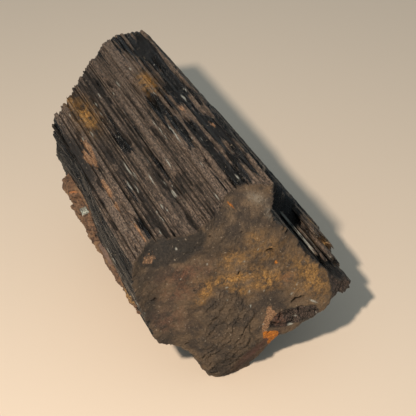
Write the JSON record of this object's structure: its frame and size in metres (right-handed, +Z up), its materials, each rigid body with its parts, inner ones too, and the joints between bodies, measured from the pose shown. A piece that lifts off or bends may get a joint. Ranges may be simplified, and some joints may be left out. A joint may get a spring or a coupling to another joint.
{
  "type": "tourmaline crystal",
  "caption": "Stubby striated prism of black tourmaline lying on one side face, with a stepped far end, a rough rusty fracture at the near end and mother-rock crust on one flank.",
  "frame": {"origin": "middle of the bounding box in plan, at the level of the flat side face the crystal rests on", "axes": "+X along the striations towards the broken near end, +Z up from the resting face, +Y towards the overhanging flank"},
  "size_m": [0.0646, 0.0438, 0.0465],
  "materials": {
    "black_tourmaline": "satin",
    "matrix_rock": "matte"
  },
  "bodies": {
    "root": {"tourmaline_crystal": "black_tourmaline", "matrix_crust": "matrix_rock"}
  },
  "joints": []
}
